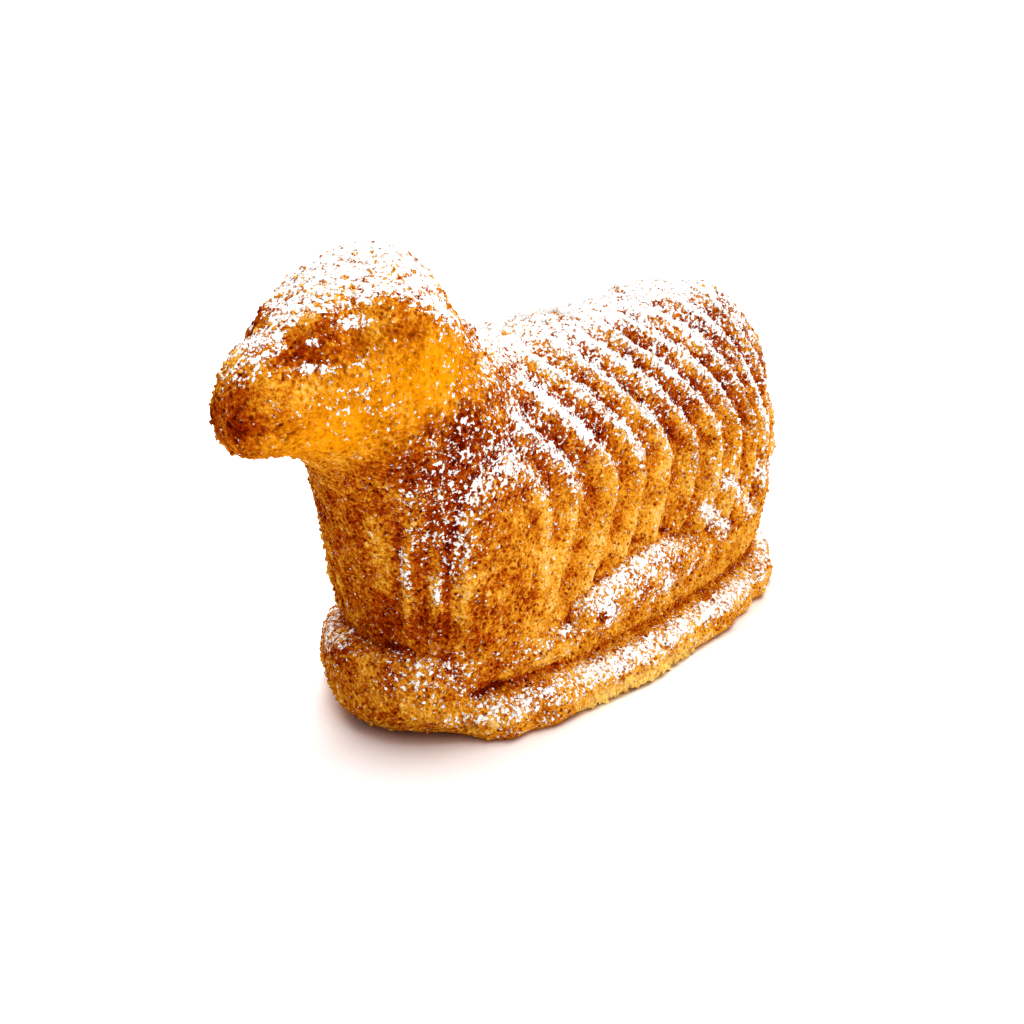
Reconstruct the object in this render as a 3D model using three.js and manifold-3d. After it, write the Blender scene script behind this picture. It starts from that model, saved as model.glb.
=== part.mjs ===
// Easter lamb cake: one sponge, baked in a two-part mould as a lying lamb on an oval plinth.
// Millimetres, +Z up. The nose points to -X, the tail to +X, the lamb's left flank to -Y.
// The origin is the middle of the cake's box, on the surface that it stands on.
import * as THREE from "three";
import { mergeVertices } from "three/addons/utils/BufferGeometryUtils.js";
import Module from "manifold-3d";

const { clamp, lerp, smoothstep } = THREE.MathUtils;

// Trunk: a loaf with a level back, a round rump and a belly that tucks in over the plinth
const TRUNK = { at: [18.5, 31], halfLength: 55, halfWidth: 21.6, halfHeight: 40.2, climb: 0.03 };
const TRUNK_ROUND = { ends: 6, section: 2.25 };
const HAUNCH = { at: [44.5, 12, 27], size: [16, 12.5, 21], nod: 0 };

// Limbs of the middle plane run from one round end to another, each end [x, y, z] with its radius
const NECK = { from: [-25.2, 0, 14.4], to: [-35.9, 0, 61], fromRadius: 15, toRadius: 18, breadth: 1.06 };
const MUZZLE = { from: [-53, 0, 71.7], to: [-66.1, 0, 71], fromRadius: 12.5, toRadius: 8.6, breadth: 0.95 };
const CHIN = { from: [-60, 0, 67.6], to: [-71.6, 0, 66], fromRadius: 6.5, toRadius: 5.1, breadth: 1.15 };

// Round masses of the head: a place, half sizes, and a nod that tips the front down
const SKULL = { at: [-47.9, 0, 71.6], size: [16.1, 16.4, 16.2], nod: 18 };
const POLL = { at: [-40.9, 0, 81.1], size: [8.2, 10.3, 10], nod: 0 };

// Paired features of the head, given for the +Y side
const EAR = { from: [-50, 11.6, 83.4], to: [-40.5, 15.3, 78.2], fromRadius: 2.7, toRadius: 2.5, breadth: 1 };
const BROW = { from: [-60.5, 6.4, 81.2], to: [-55.5, 10, 81.6], fromRadius: 0.9, toRadius: 1, breadth: 1 };
const SOCKET = { at: [-62, 12.2, 78.4], size: [7.2, 3.8, 3.8], nod: 25 };
const EYE = { at: [-60.2, 8.7, 77.8], size: [3.2, 2.2, 2.3], nod: 25 };
const MOUTH = { from: [-76.6, 4.4, 65.6], to: [-71, 8.7, 67], fromRadius: 1, toRadius: 1, breadth: 1 };

// How softly neighbouring masses run into each other
const SOFT = { haunch: 10, trunkNeck: 11, neckHead: 7, muzzle: 9, chin: 6, poll: 10 };
const SOFT_FEATURE = { ear: 3, brow: 5, socket: 4, eye: 2, mouth: 2 };

// Wool: ridges that lean towards the head over the back and tuck in below, sharp at the crest, hollow between
const WOOL = { first: -10.7, spacing: 12.6, tighten: 0.06, depth: 2.6, vary: 0.2, wave: 7 };
const RIDGE = { crest: 0.16, level: 0.6, skew: 0.7 };
const WOOL_LEAN = { turn: 43, above: 1.15, below: 0.45, bend: 5, upright: 0.6, between: [15, 60] };

// Shoulder: one ridge stands over it like an arch, and its middle and the breast are plain
const SHOULDER = { x: -31, y: 21, z: 37, front: 8.5, back: 11.5, halfHeight: 15, spacing: 9, depth: 0.7 };
const ARCH_FADE = { inside: [0.45, 0.8], outside: [0.4, 0.8], join: [-8, 0] };
const WOOL_FADE = { neck: [5, 14], foot: [17, 25], breast: [6, 13], tail: [56, 72], tailLoss: 0.5 };

// Slow unevenness that baking leaves in every surface: its height and the lengths of its waves
const UNEVEN = { height: 0.35, along: 5.3, across: 6.1, bend: 8.1, ripple: 0.6, tall: 4.9, drift: 10.7 };

// Rows of the skin from the tail to the nose, and points in a row, which crowd towards the back
const ROWS = { rump: 9, neck: 30, head: 18, muzzle: 6, nose: 5 };
const TRUNK_RIBS = { first: 2, last: 8, steps: [0.72, 0.4, 0.12, 0] };
const SWEEP_ROUNDS = 6;
const AROUND = 56;
const CROWD = 0.3;

// The skin's rows follow the wool over the trunk, then fan out about the nape and about the throat
const RUMP_CENTRE = { x: 57.5, z: 35 };
const TRUNK_FRONT = { x: 15, z: 33 };
const SECTION = { halfWidth: 21, halfHeight: 38 };
const NAPE = { x: -9, z: 82 };
const THROAT = { x: -63, z: 49 };
const FACE_CENTRE_RISE = 24;
const NOSE_CENTRE = { x: -68, z: 68 };
const NOSE_DIP = -10;

// Plinth: an oval foot with a ledge round the lamb
const PLINTH = { middle: 13.8, halfLength: 63.6, halfWidth: 25.5, oval: 2.3, ledge: 16.5, edge: 3, crown: 20 };
const PLINTH_SIDES = 76;
const LEDGE_RINGS = 3;

// Band of batter pressed out between the mould's halves, along both sides and the tail
const BAND = { reach: 5.2, height: 6, shoulder: 1.9, groove: 2.2, front: -36.6, blend: 1, trace: 1.9 };
const RAGGED = { height: 0.9, waves: [23, 9, 41], fine: 0.6 };

// Bow: ahead of the band the plinth's underside is rounded and lifts off the floor
const BOW = { reach: 8, length: 6, tip: -50, trace: 0.4 };

// Bulge: on the lamb's right the batter swelled out of the plinth beside the breast
const BULGE = { x: -33, reach: 4.6, length: 11 };

// Hind legs: the thigh comes out of the haunch and the foot lies forwards on the ledge, given for the +Y side
const HIND_LEG = [
  { at: [-13.5, 21, 15.5], radius: 0 },
  { at: [-10, 21, 15.8], radius: 4 },
  { at: [0, 20.4, 16.8], radius: 5.6 },
  { at: [14, 19, 18], radius: 7.2 },
  { at: [28, 17.5, 17.5], radius: 8 },
  { at: [44, 15.5, 15], radius: 8 },
  { at: [60, 10, 12], radius: 0 },
];
const LEG_RINGS = 16;
const LEG_SIDES = 16;

// Pits that steam left in the crust: place and radius
const PITS = [
  { at: [-44, -12.5, 16.8], radius: 1.5 },
  { at: [-6.6, -25.2, 16.3], radius: 1.1 },
  { at: [15.6, -25.8, 16.6], radius: 1.2 },
];
const PIT_SIDES = 8;
const PIT_ROWS = 6;

// The lamb is cut off level inside the plinth, by a block that reaches past it on every side
const UNDERSIDE = 5;
const CUT_BLOCK = { span: 400, depth: 60 };

// How far the skin is looked for from a row's centre, and how finely points are told apart
const FARTHEST = 100;
const FINEST = 1e-4;

const DEGREE = Math.PI / 180;
const QUARTER = Math.PI / 2;

function smoothMin(a, b, reach) {
  const overlap = Math.max(reach - Math.abs(a - b), 0) / reach;
  return Math.min(a, b) - overlap * overlap * reach * 0.25;
}

function smoothMax(a, b, reach) {
  return -smoothMin(-a, -b, reach);
}

// Distance-like value of a tapered round limb
function limb(x, y, z, { from, to, fromRadius, toRadius, breadth }) {
  const run = [to[0] - from[0], to[1] - from[1], to[2] - from[2]];
  const away = [x - from[0], y / breadth - from[1], z - from[2]];
  const along = away[0] * run[0] + away[1] * run[1] + away[2] * run[2];
  const share = clamp(along / (run[0] ** 2 + run[1] ** 2 + run[2] ** 2), 0, 1);
  const gap = Math.hypot(away[0] - share * run[0], away[1] - share * run[1], away[2] - share * run[2]);
  return gap - lerp(fromRadius, toRadius, share);
}

// Distance-like value of an egg that may be tipped forwards
function egg(x, y, z, { at, size, nod }) {
  const dx = x - at[0];
  const dz = z - at[2];
  const ahead = dx * Math.cos(nod * DEGREE) + dz * Math.sin(nod * DEGREE);
  const above = dz * Math.cos(nod * DEGREE) - dx * Math.sin(nod * DEGREE);
  return (Math.hypot(ahead / size[0], (y - at[1]) / size[1], above / size[2]) - 1) * Math.min(...size);
}

function trunk(x, y, z) {
  const { at, halfLength, halfWidth, halfHeight, climb } = TRUNK;
  const { ends, section } = TRUNK_ROUND;
  const tall = halfHeight + climb * (x - at[0]);
  const across = Math.abs(y / halfWidth) ** section + Math.abs((z - at[1]) / tall) ** section;
  const along = Math.abs((x - at[0]) / halfLength) ** ends;
  return ((along + across ** (ends / section)) ** (1 / ends) - 1) * halfWidth;
}

function head(x, y, z) {
  const side = Math.abs(y);
  let form = smoothMin(egg(x, y, z, SKULL), egg(x, y, z, POLL), SOFT.poll);
  form = smoothMin(form, limb(x, y, z, MUZZLE), SOFT.muzzle);
  form = smoothMin(form, limb(x, y, z, CHIN), SOFT.chin);
  form = smoothMin(form, limb(x, side, z, BROW), SOFT_FEATURE.brow);
  form = smoothMax(form, -egg(x, side, z, SOCKET), SOFT_FEATURE.socket);
  form = smoothMin(form, egg(x, side, z, EYE), SOFT_FEATURE.eye);
  form = smoothMax(form, -limb(x, side, z, MOUTH), SOFT_FEATURE.mouth);
  return smoothMin(form, limb(x, side, z, EAR), SOFT_FEATURE.ear);
}

// Below zero inside the lamb, above zero outside
function lamb(x, y, z) {
  const side = Math.abs(y);
  const rear = smoothMin(trunk(x, y, z), egg(x, side, z, HAUNCH), SOFT.haunch);
  const body = smoothMin(rear, limb(x, y, z, NECK), SOFT.trunkNeck);
  return smoothMin(body, head(x, y, z), SOFT.neckHead);
}

// How far a wool ridge lies ahead of its rearmost place, at a height; ridges on the rump stand more upright
function woolLean(x, z) {
  const rise = z - WOOL_LEAN.turn;
  const above = WOOL_LEAN.above * (1 - WOOL_LEAN.upright * smoothstep(x, ...WOOL_LEAN.between));
  const slope = rise > 0 ? above : WOOL_LEAN.below;
  return slope * (Math.hypot(rise, WOOL_LEAN.bend) - WOOL_LEAN.bend);
}

// A ridge's height with its crests at whole turns: it drops behind each crest and rises slowly to the next
function ridge(turns) {
  const past = (turns - Math.floor(turns)) ** RIDGE.skew;
  return RIDGE.level - Math.hypot(Math.sin(Math.PI * past), RIDGE.crest);
}

// Height of the wool over the plain skin
function wool(x, y, z) {
  const along = x + woolLean(x, z) - WOOL.first;
  const rib = along / (WOOL.spacing - WOOL.tighten * along);
  const dx = x - SHOULDER.x;
  const ahead = dx < 0 ? 1 : 0;
  const half = lerp(SHOULDER.back, SHOULDER.front, ahead);
  const dy = ahead * (Math.abs(y) - SHOULDER.y);
  const dz = Math.max(z - SHOULDER.z, 0);
  const arch = Math.hypot(dx / half, dy / half, dz / SHOULDER.halfHeight);
  const ring = ((arch - 1) * half) / SHOULDER.spacing;
  const lean = Math.atan2(NAPE.x - THROAT.x, NAPE.z - THROAT.z);
  const behindNeck = (x - THROAT.x) * Math.cos(lean) - (z - THROAT.z) * Math.sin(lean);
  const breast = lerp(1, smoothstep(Math.abs(y), ...WOOL_FADE.breast), ahead);
  const tail = 1 - WOOL_FADE.tailLoss * smoothstep(x, ...WOOL_FADE.tail);
  const shown = smoothstep(behindNeck, ...WOOL_FADE.neck) * smoothstep(z, ...WOOL_FADE.foot) * breast * tail;
  const near = smoothstep(arch, ...ARCH_FADE.inside) * (1 - smoothstep(ring, ...ARCH_FADE.outside));
  const shoulder = SHOULDER.depth * near * ridge(ring);
  const depth = WOOL.depth * (1 + WOOL.vary * Math.sin(z / WOOL.wave + 2 * rib));
  return depth * shown * lerp(shoulder, ridge(rib), smoothstep(along, ...ARCH_FADE.join));
}

function unevenness(x, y, z) {
  const patches = Math.sin(x / UNEVEN.along + Math.sin(z / UNEVEN.bend)) * Math.sin(y / UNEVEN.across + 1);
  return UNEVEN.height * (patches + UNEVEN.ripple * Math.sin(z / UNEVEN.tall + x / UNEVEN.drift));
}

// One row of the skin: its centre, the lean of its back, how far it opens from its axis, and a sweep along X
function skinRow(centre, lean, open, sweep) {
  return { centre, lean, open, sweep: sweep ?? (() => 0) };
}

// How far a row of the trunk is swept forwards to follow its ridge, at an angle down from the back
function sweepAt(x, down) {
  const slant = SECTION.halfWidth / Math.tan(Math.max(down, 0.01)) / SECTION.halfHeight;
  const height = TRUNK_FRONT.z + (SECTION.halfHeight * slant) / Math.hypot(1, slant);
  let sweep = 0;
  for (let i = 0; i < SWEEP_ROUNDS; i += 1) {
    sweep = woolLean(x - sweep, height);
  }
  return sweep;
}

// Places along X of the trunk's rows, from the rump on: each ridge has one on its crest and a few behind it
function trunkRows() {
  const places = [];
  for (let rib = TRUNK_RIBS.last; rib >= TRUNK_RIBS.first; rib -= 1) {
    for (const step of TRUNK_RIBS.steps) {
      const turns = rib + step;
      places.push(WOOL.first + (turns * WOOL.spacing) / (1 + turns * WOOL.tighten));
    }
  }
  return places.filter((x) => x <= RUMP_CENTRE.x && x > TRUNK_FRONT.x);
}

function skinRows() {
  const rows = [];
  const lean = Math.atan2(NAPE.x - THROAT.x, NAPE.z - THROAT.z);
  const half = Math.hypot(NAPE.x - THROAT.x, NAPE.z - THROAT.z) / 2;
  for (let i = 0; i < ROWS.rump; i += 1) {
    const open = Math.PI - (i / ROWS.rump) * QUARTER;
    rows.push(skinRow(RUMP_CENTRE, 0, open, (down) => -Math.sin(open) * sweepAt(RUMP_CENTRE.x, down)));
  }
  for (const x of trunkRows()) {
    const t = (RUMP_CENTRE.x - x) / (RUMP_CENTRE.x - TRUNK_FRONT.x);
    const z = lerp(RUMP_CENTRE.z, TRUNK_FRONT.z, t);
    rows.push(skinRow({ x, z }, 0, QUARTER, (down) => -sweepAt(x, down)));
  }
  for (let i = 0; i < ROWS.neck; i += 1) {
    const t = i / ROWS.neck;
    const depth = lerp(NAPE.z - TRUNK_FRONT.z, half, t);
    const centre = { x: NAPE.x - depth * Math.sin(lean * t), z: NAPE.z - depth * Math.cos(lean * t) };
    const start = TRUNK_FRONT.x - NAPE.x;
    const sweep = (down) => (1 - t) * (start - sweepAt(TRUNK_FRONT.x, down));
    rows.push(skinRow(centre, lean * t, QUARTER, sweep));
  }
  for (let i = 0; i < ROWS.head; i += 1) {
    const t = i / ROWS.head;
    const rise = lerp(half, FACE_CENTRE_RISE, t);
    const turn = lean * (1 - t);
    const centre = { x: THROAT.x + rise * Math.sin(turn), z: THROAT.z + rise * Math.cos(turn) };
    rows.push(skinRow(centre, turn, QUARTER));
  }
  for (let i = 0; i < ROWS.muzzle; i += 1) {
    const t = i / ROWS.muzzle;
    const x = lerp(THROAT.x, NOSE_CENTRE.x, t);
    const z = lerp(THROAT.z + FACE_CENTRE_RISE, NOSE_CENTRE.z, t);
    rows.push(skinRow({ x, z }, NOSE_DIP * DEGREE * t, QUARTER));
  }
  for (let i = 0; i <= ROWS.nose; i += 1) {
    rows.push(skinRow(NOSE_CENTRE, NOSE_DIP * DEGREE, (1 - i / ROWS.nose) * QUARTER));
  }
  return rows;
}

// Where a ray from inside the lamb comes out of its skin, raised by the wool and the unevenness
function skinPoint(row, around) {
  const ahead = Math.cos(row.open);
  const back = -Math.cos(around) * Math.sin(row.open);
  const way = new THREE.Vector3(
    back * Math.sin(row.lean) - ahead * Math.cos(row.lean),
    -Math.sin(around) * Math.sin(row.open),
    back * Math.cos(row.lean) + ahead * Math.sin(row.lean),
  );
  const start = new THREE.Vector3(row.centre.x + row.sweep(Math.abs(Math.PI - around)), 0, row.centre.z);
  const point = new THREE.Vector3();
  let inside = 0;
  let outside = FARTHEST;
  while (outside - inside > FINEST) {
    const reach = (inside + outside) / 2;
    point.copy(start).addScaledVector(way, reach);
    if (lamb(point.x, point.y, point.z) < 0) inside = reach;
    else outside = reach;
  }
  const { x, y, z } = point;
  return point.addScaledVector(way, wool(x, y, z) + unevenness(x, y, z));
}

function lambGeometry() {
  const rows = skinRows();
  const geometry = new THREE.SphereGeometry(1, AROUND, rows.length - 1);
  const { position, uv } = geometry.attributes;
  for (let i = 0; i < position.count; i += 1) {
    const row = rows[Math.round(uv.getY(i) * (rows.length - 1))];
    const step = clamp(Math.round(uv.getX(i) * AROUND), 0, AROUND) % AROUND;
    const even = (step / AROUND) * 2 * Math.PI;
    const point = skinPoint(row, even + CROWD * Math.sin(even));
    position.setXYZ(i, point.x, point.y, point.z);
  }
  return geometry;
}

// The plinth's upright profile at one place: [how far outside the oval, height] from the floor up
function plinthProfile(x, ragged, bulge) {
  const side = smoothstep(x, BAND.front - BAND.blend, BAND.front + BAND.blend);
  const bow = BOW.reach * (1 - smoothstep(x, BAND.front - BOW.length, BAND.front + BAND.blend));
  const trace = lerp(BOW.trace, BAND.trace, smoothstep(x, BOW.tip, BAND.front));
  const reach = lerp(trace, BAND.reach + ragged, side);
  const top = BAND.height + 0.4 * ragged;
  const crease = top + BAND.shoulder + 0.5;
  const groove = BAND.groove * side;
  return [
    [reach - 0.8 - bow, 0],
    [reach - 0.33 * bow, 0.2 * BAND.height],
    [reach + 0.1 * bulge, 0.75 * BAND.height],
    [lerp(1, 0.8, side) * reach + 0.3 * bulge, top],
    [lerp(0.8, 0.15, side) * reach + 0.7 * bulge, top + BAND.shoulder],
    [lerp(0.6, 0, side) * reach + bulge - groove, crease],
    [lerp(0.4, 0, side) * reach + bulge - 0.3 * groove, crease + PLINTH.edge / 2],
    [bulge, PLINTH.ledge - PLINTH.edge],
    [0.8 * bulge - 0.3 * PLINTH.edge, PLINTH.ledge - 0.3 * PLINTH.edge],
    [0.5 * bulge - PLINTH.edge, PLINTH.ledge],
  ];
}

function plinthGeometry() {
  const steps = plinthProfile(0, 0, 0).length;
  const blank = [new THREE.Vector2(0, 0)];
  for (let k = 1; k <= steps + LEDGE_RINGS; k += 1) {
    blank.push(new THREE.Vector2(1, k));
  }
  blank.push(new THREE.Vector2(0, steps + LEDGE_RINGS + 1));
  const geometry = new THREE.LatheGeometry(blank, PLINTH_SIDES);
  const { position } = geometry.attributes;
  for (let i = 0; i < position.count; i += 1) {
    const ring = Math.round(position.getY(i));
    const angle = Math.atan2(-position.getZ(i), position.getX(i));
    const [c, s] = [Math.cos(angle), Math.sin(angle)];
    const stretch = (Math.abs(c) ** PLINTH.oval + Math.abs(s) ** PLINTH.oval) ** (-1 / PLINTH.oval);
    const edge = new THREE.Vector2(PLINTH.halfLength * stretch * c, PLINTH.halfWidth * stretch * s);
    const outwards = new THREE.Vector2(
      (Math.sign(c) * Math.abs(c) ** (PLINTH.oval - 1)) / PLINTH.halfLength,
      (Math.sign(s) * Math.abs(s) ** (PLINTH.oval - 1)) / PLINTH.halfWidth,
    ).normalize();
    const [quick, slow, fine] = RAGGED.waves;
    const coarse = Math.sin(angle * quick) * Math.sin(angle * slow + 1);
    const ragged = RAGGED.height * (coarse + RAGGED.fine * Math.sin(angle * fine + 2));
    const x = PLINTH.middle + edge.x;
    const bulge = s > 0 ? BULGE.reach * Math.exp(-(((x - BULGE.x) / BULGE.length) ** 2)) : 0;
    const profile = plinthProfile(x, ragged, bulge);
    const [offset, rise] = profile[clamp(ring, 1, steps) - 1];
    const inner = clamp((ring - steps) / (LEDGE_RINGS + 1), 0, 1);
    const height = inner > 0 ? lerp(PLINTH.ledge, PLINTH.crown, Math.sin(inner * QUARTER)) : rise;
    const place = edge.addScaledVector(outwards, offset).multiplyScalar(ring === 0 ? 0 : 1 - inner);
    position.setXYZ(i, PLINTH.middle + place.x, place.y, height);
  }
  return geometry;
}

// One hind leg: a tapered round form along a curve, on the side that is asked for
function legGeometry(side) {
  const places = HIND_LEG.map(({ at }) => new THREE.Vector3(at[0], side * at[1], at[2]));
  const curve = new THREE.CatmullRomCurve3(places);
  const girth = new THREE.SplineCurve(HIND_LEG.map(({ radius }, i) => new THREE.Vector2(i, radius)));
  const geometry = new THREE.SphereGeometry(1, LEG_SIDES, LEG_RINGS);
  const { position, uv } = geometry.attributes;
  for (let i = 0; i < position.count; i += 1) {
    const ring = Math.round((1 - uv.getY(i)) * LEG_RINGS);
    const around = Math.atan2(position.getZ(i), position.getX(i));
    const t = ring / LEG_RINGS;
    const pole = ring === 0 || ring === LEG_RINGS;
    const radius = pole ? 0 : girth.getPoint(t).y;
    const point = curve.getPoint(t);
    position.setXYZ(i, point.x, point.y + radius * Math.cos(around), point.z + radius * Math.sin(around));
  }
  return geometry;
}

function pitGeometry({ at, radius }) {
  return new THREE.SphereGeometry(radius, PIT_SIDES, PIT_ROWS).translate(...at);
}

const wasm = await Module();
wasm.setup();

function solidOf(geometry) {
  const bare = geometry.clone();
  bare.deleteAttribute("normal");
  bare.deleteAttribute("uv");
  const merged = mergeVertices(bare, FINEST);
  const mesh = new wasm.Mesh({
    numProp: 3,
    vertProperties: new Float32Array(merged.attributes.position.array),
    triVerts: new Uint32Array(merged.index.array),
  });
  return new wasm.Manifold(mesh);
}

function geometryOf(solid) {
  const { vertProperties, triVerts } = solid.getMesh();
  const geometry = new THREE.BufferGeometry();
  geometry.setAttribute("position", new THREE.BufferAttribute(new Float32Array(vertProperties), 3));
  geometry.setIndex(new THREE.BufferAttribute(new Uint32Array(triVerts), 1));
  return geometry;
}

const { span, depth } = CUT_BLOCK;
const block = new THREE.BoxGeometry(span, span, depth).translate(0, 0, UNDERSIDE - depth / 2);
let cake = solidOf(lambGeometry()).subtract(solidOf(block)).add(solidOf(plinthGeometry()));
for (const side of [-1, 1]) {
  cake = cake.add(solidOf(legGeometry(side)));
}
for (const pit of PITS) {
  cake = cake.subtract(solidOf(pitGeometry(pit)));
}

const geometry = geometryOf(cake);
geometry.computeBoundingBox();
const { min, max } = geometry.boundingBox;
geometry.translate(-(min.x + max.x) / 2, -(min.y + max.y) / 2, -min.z);
geometry.computeVertexNormals();

const crust = new THREE.MeshStandardMaterial({ color: 0xc9832f, roughness: 0.85, metalness: 0 });
const mesh = new THREE.Mesh(geometry, crust);
mesh.name = "lamb_cake";
const part = new THREE.Group();
part.add(mesh);

export default part;
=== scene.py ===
import math

import bmesh
import bpy
import numpy as np
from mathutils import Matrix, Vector, noise
from mathutils.bvhtree import BVHTree


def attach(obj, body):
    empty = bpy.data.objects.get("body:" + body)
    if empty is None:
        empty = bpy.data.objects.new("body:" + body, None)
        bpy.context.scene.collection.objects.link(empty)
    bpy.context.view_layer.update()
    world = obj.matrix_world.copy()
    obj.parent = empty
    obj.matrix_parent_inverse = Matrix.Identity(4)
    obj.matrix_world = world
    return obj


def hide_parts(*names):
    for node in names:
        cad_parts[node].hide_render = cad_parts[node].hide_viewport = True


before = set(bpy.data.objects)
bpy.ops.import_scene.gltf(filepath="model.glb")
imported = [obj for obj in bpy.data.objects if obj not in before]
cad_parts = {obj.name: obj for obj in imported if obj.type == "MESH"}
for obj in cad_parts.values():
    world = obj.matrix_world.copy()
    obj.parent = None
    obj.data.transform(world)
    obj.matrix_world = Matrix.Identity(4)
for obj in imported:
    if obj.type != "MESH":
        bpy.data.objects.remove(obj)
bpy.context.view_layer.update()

# Camera: it stands off the lamb's left shoulder and looks a little down on the cake.
# A short portrait lens from close by makes the head look large against the rump.
CAMERA_PLACE = (-0.2083, -0.1687, 0.1290)
CAMERA_AZIMUTH = -50.0
CAMERA_ELEVATION = 20.3
CAMERA_LENS = 47.46
CAMERA_NEAR = 0.005
SENSOR_WIDTH = 36.0

camera = bpy.data.objects.new("camera", bpy.data.cameras.new("camera"))
bpy.context.scene.collection.objects.link(camera)
camera.location = CAMERA_PLACE
camera.rotation_euler = (math.radians(90 - CAMERA_ELEVATION), 0, math.radians(CAMERA_AZIMUTH))
camera.data.lens = CAMERA_LENS
camera.data.sensor_width = SENSOR_WIDTH
camera.data.clip_start = CAMERA_NEAR
bpy.context.scene.camera = camera


# Baked crust: the golden skin of a plain sponge cake, as it came out of a two-part mould.
# Its form is the solid's; here it gets the sharp crests of the wool, the folds beside the breast,
# the crumbly grain and the pits that steam left in it. Sizes are in millimetres.
MM = 0.001
VOXEL = 0.65
MERGE_GAP = 0.002
FLOOR_GAP = 0.1
LEVEL_DOWN = -0.999
SEED = 20
RELAX = {"rounds": 12, "skin": 0.05, "fleece": 0.45, "foot": (18, 25)}

# The wool's ridges, their lean, the arch over each shoulder and where they fade out, as the solid has them
WOOL = {"first": -13.82, "spacing": 12.6, "tighten": 0.06, "depth": 2.6, "vary": 0.2, "wave": 7}
RIDGE = {"crest": 0.16, "level": 0.6, "skew": 0.7}
WOOL_LEAN = {"turn": 43, "above": 1.15, "below": 0.45, "bend": 5, "upright": 0.6, "between": (11.9, 56.9)}
SHOULDER = {"x": -34.12, "y": 21, "z": 37, "front": 8.5, "back": 11.5, "half_height": 15}
ARCH = {"spacing": 9, "depth": 0.7}
ARCH_FADE = {"inside": (0.45, 0.8), "outside": (0.4, 0.8), "join": (-8, 0)}
WOOL_FADE = {"neck": (5, 14), "foot": (17, 25), "breast": (6, 13), "tail": (52.9, 68.9), "tail_loss": 0.5}
NAPE = (-12.12, 82)
THROAT = (-66.12, 49)

# Finer than the solid: crests a tenth higher, and the folds beside the breast
CREST_GAIN = 1.1
FOLDS = {"spacing": 5, "depth": 0.9, "first": (0.4, 0.8), "last": (2.2, 2.6)}
FOLDS_FADE = {"top": (42, 50), "breast": (3, 8)}

# A hind leg's middle line on the lamb's right, each place with the leg's radius there
HIND_LEG = [
    ((-16.6, 21, 15.5), 0),
    ((-13.1, 21, 15.8), 4),
    ((-3.1, 20.4, 16.8), 5.6),
    ((10.9, 19, 18), 7.2),
    ((24.9, 17.5, 17.5), 8),
    ((40.9, 15.5, 15), 8),
    ((56.9, 10, 12), 0),
]
LEG_EDGE = (-1.4, -0.4)


def smoothstep(value, low, high):
    """0 at low and 1 at high, with a soft run between them, whichever is the larger."""
    share = np.clip((value - low) / (high - low), 0, 1)
    return share * share * (3 - 2 * share)


def mirrored(points):
    """The points, all brought over to the lamb's right."""
    return np.abs(points) * [0, 1, 0] + points * [1, 0, 1]


def on_leg(points):
    """1 on the outside of a hind leg, 0 away from it."""
    side = mirrored(points)
    depth = np.full(len(points), -np.inf)
    for (start, first), (end, last) in zip(HIND_LEG, HIND_LEG[1:]):
        run = np.subtract(end, start)
        share = np.clip((side - start) @ run / (run @ run), 0, 1)
        gap = np.linalg.norm(side - start - share[:, None] * run, axis=1)
        depth = np.maximum(depth, first + (last - first) * share - gap)
    return smoothstep(depth, *LEG_EDGE)


def ridge(turns):
    """Height of a wool ridge with its crests at whole turns: it drops behind each and rises to the next."""
    past = (turns - np.floor(turns)) ** RIDGE["skew"]
    return RIDGE["level"] - np.hypot(np.sin(np.pi * past), RIDGE["crest"])


def past_arch(points):
    """How far the points lie outside the crest of the shoulder's arch, in millimetres and as a ratio."""
    x, y, z = points.T
    dx = x - SHOULDER["x"]
    half = np.where(dx < 0, SHOULDER["front"], SHOULDER["back"])
    dy = np.where(dx < 0, np.abs(y) - SHOULDER["y"], 0)
    dz = np.maximum(z - SHOULDER["z"], 0)
    arch = np.sqrt((dx**2 + dy**2) / half**2 + (dz / SHOULDER["half_height"]) ** 2)
    return (arch - 1) * half, arch


def folds(points):
    """How far the folds beside the breast show, and the share of a turn past the last one's crest.

    They are too shallow and narrow for the solid, so only this skin has them.
    """
    x, y, z = points.T
    turns = past_arch(points)[0] / FOLDS["spacing"]
    shown = smoothstep(turns, *FOLDS["first"]) * (1 - smoothstep(turns, *FOLDS["last"]))
    shown = shown * (1 - smoothstep(z, *FOLDS_FADE["top"])) * smoothstep(z, *WOOL_FADE["foot"])
    shown = shown * smoothstep(np.abs(y), *FOLDS_FADE["breast"]) * (x < SHOULDER["x"])
    return shown, turns - np.floor(turns)


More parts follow.
